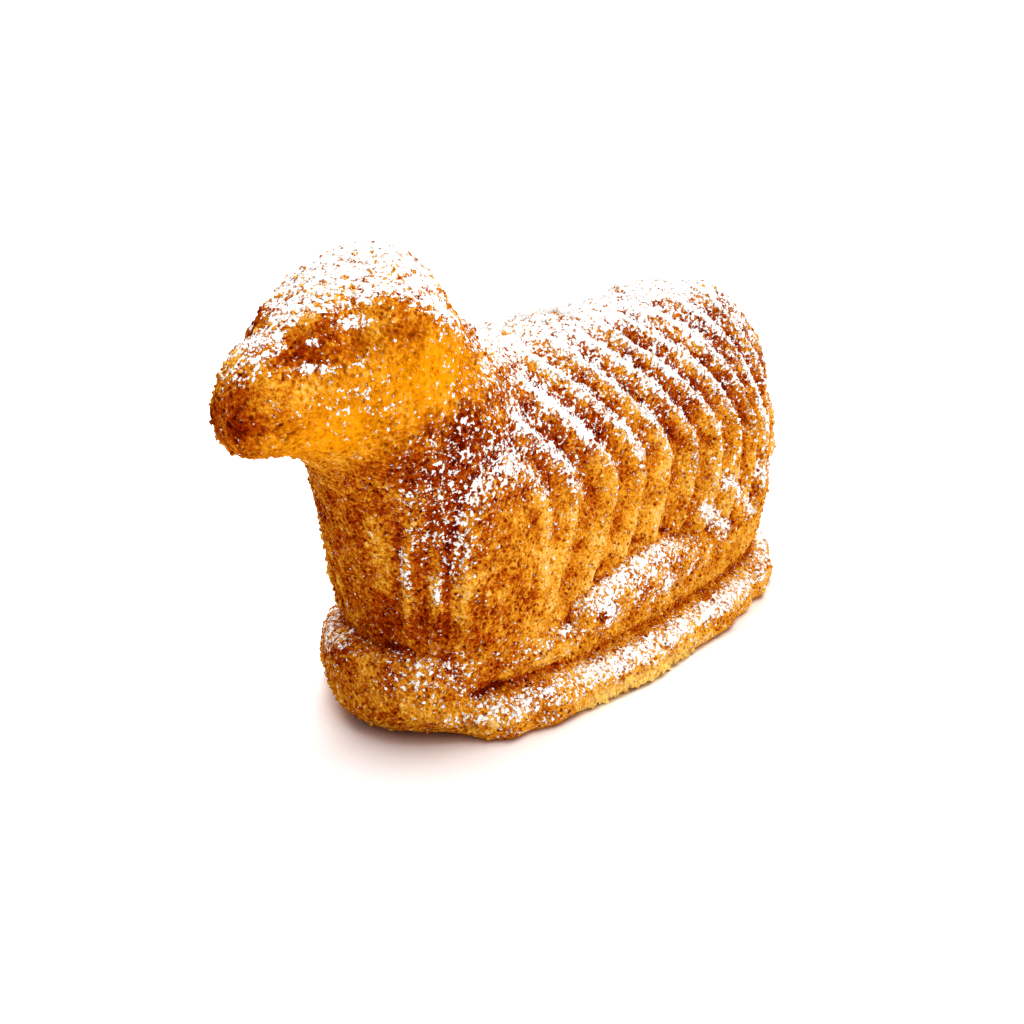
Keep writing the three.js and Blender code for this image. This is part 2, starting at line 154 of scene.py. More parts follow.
def wool(points):
    """Height of the wool over the plain skin, how far it shows, and the share of a turn past the last crest.

    The last value is 1 on the ridges of the flank and 0 on the arch over the shoulder.
    """
    x, y, z = points.T
    rise = z - WOOL_LEAN["turn"]
    above = WOOL_LEAN["above"] * (1 - WOOL_LEAN["upright"] * smoothstep(x, *WOOL_LEAN["between"]))
    slope = np.where(rise > 0, above, WOOL_LEAN["below"])
    along = x + slope * (np.hypot(rise, WOOL_LEAN["bend"]) - WOOL_LEAN["bend"]) - WOOL["first"]
    rib = along / (WOOL["spacing"] - WOOL["tighten"] * along)
    outside, arch = past_arch(points)
    ring = outside / ARCH["spacing"]
    lean = math.atan2(NAPE[0] - THROAT[0], NAPE[1] - THROAT[1])
    behind_neck = (x - THROAT[0]) * math.cos(lean) - (z - THROAT[1]) * math.sin(lean)
    breast = np.where(x < SHOULDER["x"], smoothstep(np.abs(y), *WOOL_FADE["breast"]), 1)
    tail = 1 - WOOL_FADE["tail_loss"] * smoothstep(x, *WOOL_FADE["tail"])
    shown = smoothstep(behind_neck, *WOOL_FADE["neck"]) * smoothstep(z, *WOOL_FADE["foot"]) * breast * tail
    shown = shown * (1 - on_leg(points))
    near = smoothstep(arch, *ARCH_FADE["inside"]) * (1 - smoothstep(ring, *ARCH_FADE["outside"]))
    joined = smoothstep(along, *ARCH_FADE["join"])
    form = (1 - joined) * ARCH["depth"] * near * ridge(ring) + joined * ridge(rib)
    depth = WOOL["depth"] * (1 + WOOL["vary"] * np.sin(z / WOOL["wave"] + 2 * rib))
    turns = np.where(joined > 0.5, rib, ring)
    return depth * shown * form, shown * np.maximum(joined, near), turns - np.floor(turns), joined


def finish_modifier(piece, kind, **settings):
    """Adds a modifier to a piece and makes the result the piece's own mesh."""
    modifier = piece.modifiers.new(kind.lower(), kind)
    for name, value in settings.items():
        setattr(modifier, name, value)
    graph = bpy.context.evaluated_depsgraph_get()
    made = bpy.data.meshes.new_from_object(piece.evaluated_get(graph))
    piece.modifiers.clear()
    piece.data = made


def read_points(mesh):
    """The mesh's points in millimetres, and its normals."""
    flat = np.empty(len(mesh.vertices) * 3, np.float32)
    mesh.vertices.foreach_get("co", flat)
    points = flat.reshape(-1, 3).astype(float) / MM
    mesh.vertex_normals.foreach_get("vector", flat)
    return points, flat.reshape(-1, 3).astype(float)


def write_points(mesh, points):
    """Moves the mesh's points to these places, in millimetres."""
    mesh.vertices.foreach_set("co", (points * MM).astype(np.float32).ravel())
    mesh.update()


def relaxed(values, ends, strength, rounds):
    """Rows of values drawn towards the mean of their neighbours, all by one strength or each by its own."""
    count = len(values)
    pull = np.broadcast_to(strength, count)[:, None]
    first, second = np.concatenate([ends, ends[:, ::-1]]).T
    valence = np.bincount(first, minlength=count)
    for _ in range(rounds):
        mean = [np.bincount(first, column[second], count) / valence for column in values.T]
        values = values + pull * (np.stack(mean, axis=1) - values)
    return values


def grain(points, size, shift=0.0):
    """Smooth noise from -1 to 1 whose lumps are about as large as size, in millimetres."""
    return np.array([noise.noise(place) for place in (points / size + shift).tolist()])


def spots(points, places):
    """Sum of soft spots that lie alike on both flanks."""
    side = mirrored(points)
    total = np.zeros(len(points))
    for spot in places:
        gap = (side - spot["at"]) / np.array(spot["reach"])
        total += spot["amount"] * np.exp(-(gap**2).sum(axis=1))
    return total


work = bmesh.new()
work.from_mesh(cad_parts["lamb_cake"].data)
bmesh.ops.remove_doubles(work, verts=work.verts, dist=MERGE_GAP * MM)
crust = bpy.data.objects.new("baked_crust", bpy.data.meshes.new("baked_crust"))
work.to_mesh(crust.data)
work.free()
bpy.context.scene.collection.objects.link(crust)
finish_modifier(crust, "REMESH", mode="VOXEL", voxel_size=VOXEL * MM)

# The level underside needs no fine mesh, so it becomes one face
work = bmesh.new()
work.from_mesh(crust.data)
work.normal_update()
level = [
    face
    for face in work.faces
    if face.normal.z < LEVEL_DOWN and face.calc_center_median().z < FLOOR_GAP * MM
]
bmesh.ops.dissolve_faces(work, faces=level, use_verts=True)
work.to_mesh(crust.data)
work.free()

# The solid's coarse wool comes off and the skin under it is evened out, before sharper wool goes on
dice = np.random.default_rng(SEED)
points, normals = read_points(crust.data)
ends = np.empty(len(crust.data.edges) * 2, np.int32)
crust.data.edges.foreach_get("vertices", ends)
ends = ends.reshape(-1, 2)
standing = points[:, 2] < FLOOR_GAP
points -= normals * wool(points)[0][:, None]
fleece = smoothstep(points[:, 2], *RELAX["foot"]) * (1 - on_leg(points))
points = relaxed(points, ends, RELAX["skin"] + RELAX["fleece"] * fleece, RELAX["rounds"])
write_points(crust.data, points)

# Lids and eyeballs, drawn out a little more than the solid has them
EYE_RELIEF = [
    {"at": (-63.9, 10, 78), "reach": (2.6, 4, 2.3), "amount": 0.6},
    {"at": (-68, 6.5, 79.3), "reach": (2.2, 4, 2.4), "amount": -0.4},
    {"at": (-59.8, 11.2, 78.5), "reach": (2.0, 4, 2.4), "amount": -0.3},
]

# Grain of the crust: each point of the fine mesh is a crumb or a gap between crumbs, and steam left pits
GRAIN = {"coarse": 5.2, "fine": 2.4, "height": 0.20}
GRIT = {"soften": 0.3, "most": 2.2, "height": 0.11}
PITS = {"spacing": 6.0, "depth": 0.8, "rim": (0.05, 0.18)}
HOLLOW = {"strength": 0.5, "rounds": 10}
OFF_FLOOR = (0.3, 2.0)

points, normals = read_points(crust.data)
height, shown, after, flank = wool(points)
grit = relaxed(dice.normal(size=(len(points), 1)), ends, GRIT["soften"], 1)[:, 0]
grit = np.clip(grit / grit.std(), -GRIT["most"], GRIT["most"])
off_floor = smoothstep(points[:, 2], *OFF_FLOOR)
crumbly = GRAIN["height"] * grain(points, GRAIN["coarse"])
crumbly += GRAIN["height"] * grain(points, GRAIN["fine"], 7.1)
crumbly += GRIT["height"] * grit
pits = np.array([noise.voronoi(place)[0][0] for place in (points / PITS["spacing"]).tolist()])
pitted = PITS["depth"] * (1 - smoothstep(pits, *PITS["rim"]))
folded, past_fold = folds(points)
drawn = FOLDS["depth"] * folded * ridge(past_fold) + spots(points, EYE_RELIEF)
points += normals * (CREST_GAIN * height + drawn)[:, None]
hollow = ((relaxed(points, ends, HOLLOW["strength"], HOLLOW["rounds"]) - points) * normals).sum(axis=1)
points += normals * (off_floor * (crumbly - pitted))[:, None]
points[:, 2] = np.where(standing, 0, np.maximum(points[:, 2], 0))
write_points(crust.data, points)
points, normals = read_points(crust.data)

# How much falling sugar reaches each point, from straight above and from a cone of slanted ways
FALL = {"tilt": 38.0, "ways": 8, "lift": 0.8, "least": 0.02}
SOFT_NORMALS = {"strength": 0.5, "rounds": 5}

tilt = math.radians(FALL["tilt"])
outwards = math.sin(tilt)
falls = [Vector((0, 0, 1))]
for turn in range(FALL["ways"]):
    angle = 2 * math.pi * turn / FALL["ways"]
    falls.append(Vector((outwards * math.cos(angle), outwards * math.sin(angle), math.cos(tilt))))
work = bmesh.new()
work.from_mesh(crust.data)
tree = BVHTree.FromBMesh(work)
work.free()
soft_normals = relaxed(normals, ends, SOFT_NORMALS["strength"], SOFT_NORMALS["rounds"])
soft_normals /= np.linalg.norm(soft_normals, axis=1, keepdims=True)
starts = [Vector(place) for place in ((points + FALL["lift"] * soft_normals) * MM).tolist()]
fallen = np.zeros(len(points))
for fall in falls:
    facing = soft_normals @ np.array(fall)
    for i in np.flatnonzero(facing > FALL["least"]):
        if tree.ray_cast(starts[i], fall)[0] is None:
            fallen[i] += facing[i]
fallen /= len(falls)

# Where the sugar stayed: soft spots that add to the share of white at a place of the lamb or take from it
SUGARED = [
    {"at": (-66, 8, 79), "reach": (7, 4, 4.5), "amount": -0.9},
    {"at": (-66, 7.7, 79.4), "reach": (1.3, 2, 1.2), "amount": 1.8},
    {"at": (-60.4, 9.6, 81.8), "reach": (4, 3, 1.2), "amount": 1.2},
    {"at": (-67, 8.5, 75.6), "reach": (5, 3, 1.1), "amount": 1.3},
    {"at": (-62, 11, 71), "reach": (9, 6, 5), "amount": 0.10},
    {"at": (-36, 19, 60), "reach": (13, 7, 11), "amount": 0.14},
    {"at": (-37, 22, 5), "reach": (3, 4, 3), "amount": 0.2},
    {"at": (-42, 18, 4.6), "reach": (5, 6, 1.0), "amount": 0.3},
    {"at": (8, 25, 18), "reach": (18, 4, 4), "amount": 0.20},
    {"at": (-46, 16, 50), "reach": (9, 6, 10), "amount": 0.14},
    {"at": (-48, 10, 13.5), "reach": (6, 7, 3), "amount": 0.17},
    {"at": (-42.5, 15.5, 13.5), "reach": (5, 5, 4), "amount": 0.13},
    {"at": (-53, 1, 16.5), "reach": (5, 6, 3), "amount": -0.3},
    {"at": (-27, 23, 14.5), "reach": (9, 4, 3), "amount": 0.14},
    {"at": (-7.8, 25, 16.8), "reach": (3.4, 3, 2.4), "amount": 0.9},
    {"at": (-9.7, 25.2, 16.3), "reach": (1.0, 2, 0.9), "amount": -3.0},
    {"at": (-44, 10.5, 87.5), "reach": (4, 4, 4), "amount": 0.5},
    {"at": (-43, 14.5, 83), "reach": (4, 4, 3.5), "amount": 0.45},
    {"at": (-42, 17, 79), "reach": (3, 3, 3), "amount": 0.3},
    {"at": (-43.5, 18.2, 37.5), "reach": (2, 2, 4), "amount": 0.35},
    {"at": (12.5, 25.8, 16.6), "reach": (1.3, 2, 1.3), "amount": 1.2},
]

# Streaks of sugar that lie aslant on the haunch, from their upper to their lower ends
HAUNCH_STREAKS = [
    ((29, 24.9, 28), (37, 25.1, 20.5)),
    ((37, 25.3, 32.7), (46, 25.5, 23.3)),
    ((49.5, 24.6, 32), (56, 22.7, 26.7)),
]
STREAK = {"spots": 4, "reach": (1.7, 4, 1.7), "amount": 0.8}
for top, foot in HAUNCH_STREAKS:
    for step in np.linspace(0, 1, STREAK["spots"]):
        middle = top + step * np.subtract(foot, top)
        SUGARED.append({"at": middle, "reach": STREAK["reach"], "amount": STREAK["amount"]})

# Places of the cake with sugar, a tone or painted shade of their own, each faded in between two values of x
# or of z
HEAD = {"x": (-30, -42), "z": (58, 66)}
BOW = {"x": (-24, -36), "z": (25, 20)}
BAND = {"x": (-42, -36), "z": (8, 6), "edge": (5.5, 3.5)}
GROOVE = {"bottom": (7.0, 8.2), "top": (11, 9.5)}
BOW_FOOT = {"x": (-10, -25), "z": (10, 8)}
FLECKED_FOLDS = {"y": (4, -4), "bottom": (27, 32), "top": (46, 40)}
LOWER_FLANK = (52, 38)
UPPER_FLANK = (42, 60)
BACK = (66, 74)
RUMP = {"x": (46, 60), "drop": 22}
SUGAR_BANDS = {"z": (36, 56), "wide": (50, 72), "widen": 0.16}

x, y, z = points.T
on_head = smoothstep(x, *HEAD["x"]) * smoothstep(z, *HEAD["z"])
on_bow = smoothstep(x, *BOW["x"]) * smoothstep(z, *BOW["z"])
on_band = smoothstep(z, *BAND["z"]) * smoothstep(x, *BAND["x"])
in_groove = smoothstep(z, *GROOVE["bottom"]) * smoothstep(z, *GROOVE["top"]) * smoothstep(x, *BAND["x"])
lower = smoothstep(z, *LOWER_FLANK)

# Parts of a ridge or fold, by the share of a turn past its crest; the bands of sugar widen up the back
past = after - SUGAR_BANDS["widen"] * smoothstep(z, *SUGAR_BANDS["wide"])
behind = np.maximum(smoothstep(past, 0.46, 0.18), smoothstep(after, 0.76, 0.98)) * shown
between = smoothstep(past, 0.25, 0.45) * smoothstep(after, 0.95, 0.75) * shown
crest = np.maximum(smoothstep(after, 0.14, 0.0), smoothstep(after, 0.80, 1.0)) * shown
fold_crest = np.maximum(smoothstep(past_fold, 0.3, 0.1), smoothstep(past_fold, 0.75, 0.95)) * folded
# Where the folds' hollows get painted shade
fold_hollow_shade = smoothstep(past_fold, 0.1, 0.3) * smoothstep(past_fold, 0.8, 0.55) * folded
fold_flecks = fold_crest * smoothstep(z, *FLECKED_FOLDS["bottom"]) * smoothstep(z, *FLECKED_FOLDS["top"])
fold_flecks = fold_flecks * smoothstep(y, *FLECKED_FOLDS["y"])

# The share of white: what fell and held, less on the foot, in grooves and between ridges, more on the bands
drift = 0.5 * grain(points, 9.0, 11.0) + 0.5 * grain(points, 3.6, 5.0)
held = np.clip((fallen + 0.08 * drift - 0.20 - 0.15 * on_head) / (0.54 - 0.07 * on_head), 0, 1)
clear = (1 - 0.7 * on_band * smoothstep(z, *BAND["edge"])) * (1 - 0.85 * in_groove) * (1 - 0.25 * on_bow)
thin = 1 - 0.35 * smoothstep(z, *BOW_FOOT["z"]) * smoothstep(x, *BOW_FOOT["x"])
share = 0.88 * held * held * (3 - 2 * held) * clear * thin
share = share * (1 - (0.5 - 0.35 * smoothstep(z, *BACK)) * between)
share += 0.008 + 0.14 * smoothstep(z, *UPPER_FLANK) * shown + 0.06 * on_band + 0.03 * lower * crest
share += 0.4 * fold_flecks * smoothstep(grain(points, 4.0, 8.0), -0.2, 0.3) + spots(points, SUGARED)
share = np.clip(share, 0, 1) * (1 - 0.7 * smoothstep(hollow, 0.10, 0.35))
uneven = np.clip(0.78 + 1.0 * grain(points, 11.0, 4.0) + 0.5 * grain(points, 4.0, 8.0), 0.2, 1)
drop = RUMP["drop"] * smoothstep(x, *RUMP["x"])
bands = 0.85 * behind * smoothstep(z + drop, *SUGAR_BANDS["z"]) * (0.45 + 0.55 * flank) * uneven
share = 1 - (1 - np.clip(share, 0, 1)) * (1 - bands)

# The share as odds, in steps of a normal spread, is what the material reads; the film has some height
SHARE_LEAST = 0.001
SHARE_MOST = 0.93
LOGIT_STEP = 1.7
ODDS_MOST = 2.5
FILM_HEIGHT = 0.15

share = np.clip(share, SHARE_LEAST, SHARE_MOST) * (fallen > FALL["least"])
odds = np.log(np.maximum(share, SHARE_LEAST) / (1 - share)) / LOGIT_STEP
odds = np.clip(odds + 0.9 * grain(points, 2.4, 3.0) + 0.3 * grit, -ODDS_MOST, ODDS_MOST)
points += normals * (FILM_HEIGHT * share * off_floor)[:, None]
write_points(crust.data, points)
points, normals = read_points(crust.data)
crust.data.shade_smooth()

# Browner or paler crust, and painted shade: soft spots round places of the lamb, each with its reach and its
# amount
BROWNING_AND_SHADE = [
    # Painted shade in the eye socket, with the eyeball a little paler
    {"at": (-65.4, 8.8, 78.6), "reach": (6, 5, 4.2), "amount": -0.40},
    {"at": (-63.8, 10, 77.9), "reach": (2.2, 4, 1.9), "amount": 0.14},
    {"at": (-80, 3, 70), "reach": (5, 9, 7), "amount": -0.20},
    # Painted shade in the mouth
    {"at": (-78.3, 4.2, 67.3), "reach": (4, 4, 2.2), "amount": -0.22},
    {"at": (-51, 15.4, 80.4), "reach": (5.5, 5, 3.4), "amount": -0.32},
    # Painted shade on the neck and chest under the head, in the crease at the foot of the breast and on the
    # front of the plinth under the chest
    {"at": (-44, 17, 59), "reach": (11, 12, 9), "amount": -0.32},
    {"at": (-44, 17, 48), "reach": (8, 6, 11), "amount": -0.20},
    {"at": (-50, 0, 22), "reach": (12, 18, 5), "amount": -0.28},
    {"at": (-52, 0, 44), "reach": (9, 16, 16), "amount": -0.17},
    {"at": (-51, 7, 14.2), "reach": (5, 5, 3), "amount": -0.14},
    {"at": (-45, 14.5, 13.5), "reach": (6, 5, 3), "amount": -0.10},
    {"at": (5, 25, 17), "reach": (18, 5, 5), "amount": -0.20},
    {"at": (-10, 25, 26), "reach": (12, 6, 6), "amount": 0.08},
    {"at": (-9.7, 25.2, 16.3), "reach": (1.2, 2, 1.2), "amount": -0.4},
]

# Where the crust is a bright, even gold: the side of the neck behind the cheek, the chin and the jaw. It is
# partly paler crust and partly painted light, as the white floor throws light up under the head.
GOLD_AND_FLOOR_LIGHT = [
    {"at": (-46, 18, 73), "reach": (9, 7, 8), "amount": 1.0},
    {"at": (-64, 8, 64), "reach": (11, 8, 6), "amount": 1.0},
    {"at": (-57, 12, 71), "reach": (10, 8, 7), "amount": 0.6},
]

# The torn lower edge shows the pale sponge, between these lengths and under these heights
TORN_EDGE = {"front": (-22, -14), "back": (4, 24), "z": (1.4, 4.2)}

# Painted shade: a dark strip just behind each crest of the wool, where the groove falls away
dark = smoothstep(after, 0.20, 0.36) * (1 - smoothstep(after, 0.48, 0.88)) * shown
tone = 0.64 + spots(points, BROWNING_AND_SHADE) + (0.04 + 0.05 * smoothstep(x, -20, -40)) * grit
# Painted shade in the groove between the band and the body; the lower flank paler behind the shoulder, with
# painted highlights on its crests
tone += 0.03 * on_band - 0.16 * in_groove + lower * (0.12 * smoothstep(x, -34, -20) + 0.20 * crest)
# Painted highlights on the crests of the folds beside the breast, and painted shade in their hollows
tone += 0.12 * fold_crest - 0.22 * fold_hollow_shade
tone += 0.15 * grain(points, 14.0, 2.0) + 0.20 * grain(points, 5.0, 6.0)
# The painted shade behind each crest, a little deeper up the flank
tone -= dark * (0.20 + 0.05 * smoothstep(z, 35, 55))
# Painted shade in the hollows of the skin, less of it on the head
tone -= (0.30 - 0.18 * on_head) * smoothstep(hollow, 0.06, 0.30)
# Paler crust and painted light from the floor on the chin, jaw and side of the neck
glow = np.clip(spots(points, GOLD_AND_FLOOR_LIGHT), 0, 1) * smoothstep(tone, 0.2, 0.6)
crumb = (1 - smoothstep(z, *TORN_EDGE["z"])) * smoothstep(grain(points, 7.0, 9.0), -0.7, -0.1)
crumb = crumb * smoothstep(x, *TORN_EDGE["front"]) * (1 - smoothstep(x, *TORN_EDGE["back"]))
layers = {"tone": tone, "glow": glow, "crumb": crumb, "sugar": 0.5 + 0.2 * odds}


def add_layers(mesh, layers):
    """Stores named values at the mesh's points, for its material to read."""
    for name, values in layers.items():
        layer = mesh.attributes.new(name, "FLOAT", "POINT")
        layer.data.foreach_set("value", np.clip(values, 0, 1).astype(np.float32).ravel())


def colour(code):
    """Linear colour of an sRGB hex value."""
    parts = [int(code[i : i + 2], 16) / 255 for i in (0, 2, 4)]
    return [p / 12.92 if p <= 0.04045 else ((p + 0.055) / 1.055) ** 2.4 for p in parts] + [1.0]


def add_node(tree, kind, inputs, **settings):
    """Adds a node with its settings; each input takes a value, or a link from another node's output."""
    made = tree.nodes.new(kind)
    for name, value in settings.items():
        setattr(made, name, value)
    for socket, value in inputs.items():
        if isinstance(value, bpy.types.NodeSocket):
            tree.links.new(value, made.inputs[socket])
        else:
            made.inputs[socket].default_value = value
    return made


def new_material(name):
    """An empty material, its node tree and its surface socket."""
    made = bpy.data.materials.new(name)
    made.use_nodes = True
    made.node_tree.nodes.clear()
    end = made.node_tree.nodes.new("ShaderNodeOutputMaterial")
    return made, made.node_tree, end.inputs["Surface"]


# Baked sponge crust: dry, matte and finely pored, so it has almost no gloss. It is browner where the mould
# was hotter and golden where it was cooler, with a speckled grain. A thin film of icing sugar whitens it.
# Its tone also holds painted shade in hollows, creases, pores and under the head, and painted light from
# the floor on the chin and jaw. The film's specks are far finer in truth, and are drawn coarse enough to
# show.
CRUST_TONES = [
    (0.00, "560d00"),
    (0.22, "852102"),
    (0.45, "ab4705"),
    (0.68, "d28118"),
    (0.88, "eba42b"),
    (1.00, "f6be60"),
]
GOLD = "fa9f05"
PALE_CRUMB = "ffd36b"
SUGAR_WHITE = "fffdf8"
SPECKLE = {"mm": 0.55, "gain": 1.2, "shift": -0.6}
MOTTLE = {"mm": 4.0, "gain": 0.8, "shift": -0.4}
PORE = {"mm": 1.3, "inner": 0.12, "outer": 0.36, "tone": -0.30, "height": -0.6}
FILM = {"mm": 0.8, "gain": 0.4, "bare": 0.68, "white": 0.72, "height": 0.4}
GLOW_GAIN = 0.8
BUMP = {"mm": 0.5, "strength": 0.9}
CRUST_ROUGHNESS = 0.9

sponge, nodes, surface = new_material("baked_sponge_crust")
place = add_node(nodes, "ShaderNodeTexCoord", {}).outputs["Object"]
read = {
    name: add_node(nodes, "ShaderNodeAttribute", {}, attribute_name=name).outputs["Fac"]
    for name in layers
}
speckle = add_node(
    nodes,
    "ShaderNodeTexNoise",
    {"Vector": place, "Scale": 1 / (SPECKLE["mm"] * MM), "Detail": 2.0, "Roughness": 0.6},
).outputs["Fac"]
mottle = add_node(
    nodes,
    "ShaderNodeTexNoise",
    {"Vector": place, "Scale": 1 / (MOTTLE["mm"] * MM), "Detail": 3.0},
).outputs["Fac"]
pore = add_node(
    nodes,
    "ShaderNodeTexVoronoi",
    {"Vector": place, "Scale": 1 / (PORE["mm"] * MM)},
).outputs["Distance"]
# Painted shade in each pore, which the bump also sinks
pore_dark = add_node(
    nodes,
    "ShaderNodeMapRange",
    {0: pore, 1: PORE["inner"], 2: PORE["outer"], 3: 1.0, 4: 0.0},
    interpolation_type="SMOOTHSTEP",
).outputs[0]

# Brown to gold: the tone with its painted shade, the grain, the patches and painted shade in the pores
grainy = add_node(
    nodes,
    "ShaderNodeMath",
    {0: speckle, 1: SPECKLE["gain"], 2: SPECKLE["shift"]},
    operation="MULTIPLY_ADD",
).outputs[0]
patchy = add_node(
    nodes,
    "ShaderNodeMath",
    {0: mottle, 1: MOTTLE["gain"], 2: MOTTLE["shift"]},
    operation="MULTIPLY_ADD",
).outputs[0]
shade = add_node(nodes, "ShaderNodeMath", {0: read["tone"], 1: grainy}, operation="ADD").outputs[0]
shade = add_node(nodes, "ShaderNodeMath", {0: shade, 1: patchy}, operation="ADD").outputs[0]
shade = add_node(
    nodes,
    "ShaderNodeMath",
    {0: pore_dark, 1: PORE["tone"], 2: shade},
    operation="MULTIPLY_ADD",
).outputs[0]
ramp = add_node(nodes, "ShaderNodeValToRGB", {"Fac": shade})
while len(ramp.color_ramp.elements) < len(CRUST_TONES):
    ramp.color_ramp.elements.new(1.0)
for element, (position, code) in zip(ramp.color_ramp.elements, CRUST_TONES):
    element.position = position
    element.color = colour(code)
# Gold where the crust is paler, and painted light from the floor on the chin, jaw and side of the neck
glowing = add_node(nodes, "ShaderNodeMath", {0: read["glow"], 1: GLOW_GAIN}, operation="MULTIPLY").outputs[0]
golden = add_node(
    nodes,
    "ShaderNodeMix",
    {0: glowing, 6: ramp.outputs["Color"], 7: colour(GOLD)},
    data_type="RGBA",
).outputs[2]
crumbed = add_node(
    nodes,
    "ShaderNodeMix",
    {0: read["crumb"], 6: golden, 7: colour(PALE_CRUMB)},
    data_type="RGBA",
).outputs[2]

# The film of sugar over it, and the relief of grain, film and pores
speck = add_node(
    nodes,
    "ShaderNodeTexNoise",
    {"Vector": place, "Scale": 1 / (FILM["mm"] * MM), "Detail": 2.0, "Roughness": 0.6},
).outputs["Fac"]
thick = add_node(
    nodes,
    "ShaderNodeMath",
    {0: read["sugar"], 1: FILM["gain"], 2: speck},
    operation="MULTIPLY_ADD",
).outputs[0]
white = add_node(nodes, "ShaderNodeMapRange", {0: thick, 1: FILM["bare"], 2: FILM["white"]}).outputs[0]
dusted = add_node(
    nodes,
    "ShaderNodeMix",
    {0: white, 6: crumbed, 7: colour(SUGAR_WHITE)},
    data_type="RGBA",
).outputs[2]
lumpy = add_node(
    nodes,
    "ShaderNodeMath",
    {0: white, 1: FILM["height"], 2: speckle},
    operation="MULTIPLY_ADD",
).outputs[0]
lumpy = add_node(
    nodes,
    "ShaderNodeMath",
    {0: pore_dark, 1: PORE["height"], 2: lumpy},
    operation="MULTIPLY_ADD",
).outputs[0]
bump = add_node(
    nodes,
    "ShaderNodeBump",
    {"Strength": BUMP["strength"], "Distance": BUMP["mm"] * MM, "Height": lumpy},
).outputs[0]
shader = add_node(
    nodes,
    "ShaderNodeBsdfPrincipled",
    {"Base Color": dusted, "Roughness": CRUST_ROUGHNESS, "Specular IOR Level": 0.0, "Normal": bump},
)
nodes.links.new(shader.outputs[0], surface)
crust.data.materials.clear()
crust.data.materials.append(sponge)
add_layers(crust.data, layers)
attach(crust, "root")
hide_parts("lamb_cake")


# Icing sugar: a fine white powder sifted over the baked lamb, which clumps as it takes up damp from the
# crust. It lies loose as lumps, clumps and single grains, thick on the back, crown and crests of the wool.
SUGAR_KINDS = [
    {"name": "icing_sugar_lumps", "ball": "lump", "count": 2300, "size": (0.5, 1.1)},
    {"name": "icing_sugar_clumps", "ball": "clump", "count": 9500, "size": (0.3, 0.7)},
    {"name": "icing_sugar_grains", "ball": "grain", "count": 23000, "size": (0.18, 0.42)},
]

# How closely each kind keeps to the white places, and how much of it strays from them
SUGAR_KEEPS = [(2.5, 0.0), (1.5, 0.003), (1.0, 0.008)]

# Icing sugar powder: ground crystals that scatter all light, so it is a dead white without gloss.
# Real grains are far smaller than these bodies, which are drawn coarse enough to show.
ICING_WHITE = "fefcf8"

icing, nodes, surface = new_material("icing_sugar_powder")
shader = add_node(
    nodes,
    "ShaderNodeBsdfPrincipled",
    {"Base Color": colour(ICING_WHITE), "Roughness": 1.0, "Specular IOR Level": 0.0},
)
nodes.links.new(shader.outputs[0], surface)

crust.data.calc_loop_triangles()
corners = np.empty(len(crust.data.loop_triangles) * 3, np.int32)
crust.data.loop_triangles.foreach_get("vertices", corners)
corners = corners.reshape(-1, 3)
first, second, third = points[corners].transpose(1, 0, 2)
areas = np.linalg.norm(np.cross(second - first, third - first), axis=1) / 2

# How far a small body leans, how uneven it is and how much longer than wide
BODY = {"lean": 0.25, "rough": (0.6, 1.4), "stretch": (0.7, 1.6)}


def ball_shape(kind):
    """Points and faces of a ball one unit across: a lump of 80 faces, a clump of 20 or a grain of 8."""
    ball = bmesh.new()
    if kind == "grain":
        bmesh.ops.create_uvsphere(ball, u_segments=4, v_segments=2, radius=0.5)
    else:
        bmesh.ops.create_icosphere(ball, subdivisions=2 if kind == "lump" else 1, radius=0.5)
    shape = np.array([corner.co for corner in ball.verts])
    faces = np.array([[corner.index for corner in face.verts] for face in ball.faces])
    ball.free()
    return shape, faces


def scatter(kind, weight, material, flat, sunk):
    """A piece of many small rough bodies on the crust, where the weight of its triangles puts them.

    Gives the piece, and for each body its triangle and its place in it, to read the crust's values there.
    """
    count = kind["count"]
    chance = areas * weight
    picked = dice.choice(len(corners), count, p=chance / chance.sum())
    shares = dice.dirichlet((1, 1, 1), count)
    middles = (points[corners[picked]] * shares[:, :, None]).sum(axis=1)
    ups = (normals[corners[picked]] * shares[:, :, None]).sum(axis=1)
    ups += dice.normal(0, BODY["lean"], ups.shape)
    ups /= np.linalg.norm(ups, axis=1, keepdims=True)
    sides = np.cross(ups, dice.normal(size=(count, 3)))
    sides /= np.linalg.norm(sides, axis=1, keepdims=True)
    across = np.cross(ups, sides)
    shape, faces = ball_shape(kind["ball"])
    girth = dice.uniform(*kind["size"], count)
    rough = dice.uniform(*BODY["rough"], (count, len(shape)))
    local = shape[None] * rough[:, :, None] * girth[:, None, None]
    stretch = dice.uniform(*BODY["stretch"], count)
    turned = sides[:, None] * local[:, :, :1] * stretch[:, None, None]
    turned += across[:, None] * local[:, :, 1:2] + ups[:, None] * local[:, :, 2:] * flat
    turned += (middles + ups * girth[:, None] * (0.5 * flat - sunk))[:, None]
    turned[:, :, 2] = np.maximum(turned[:, :, 2], 0)
    mesh = bpy.data.meshes.new(kind["name"])
    index = faces[None] + (np.arange(count) * len(shape))[:, None, None]
    mesh.from_pydata(turned.reshape(-1, 3) * MM, [], index.reshape(-1, 3))
    mesh.materials.append(material)
    piece = bpy.data.objects.new(kind["name"], mesh)
    bpy.context.scene.collection.objects.link(piece)
    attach(piece, "root")
    return piece, corners[picked], shares


covered = share[corners].mean(axis=1) * smoothstep(odds[corners].mean(axis=1), -2.0, 0.5)
reached = smoothstep(fallen[corners].mean(axis=1), 0.05, 0.3)
for kind, (power, stray) in zip(SUGAR_KINDS, SUGAR_KEEPS):
    scatter(kind, covered**power + stray * reached, icing, flat=0.5, sunk=0.2)


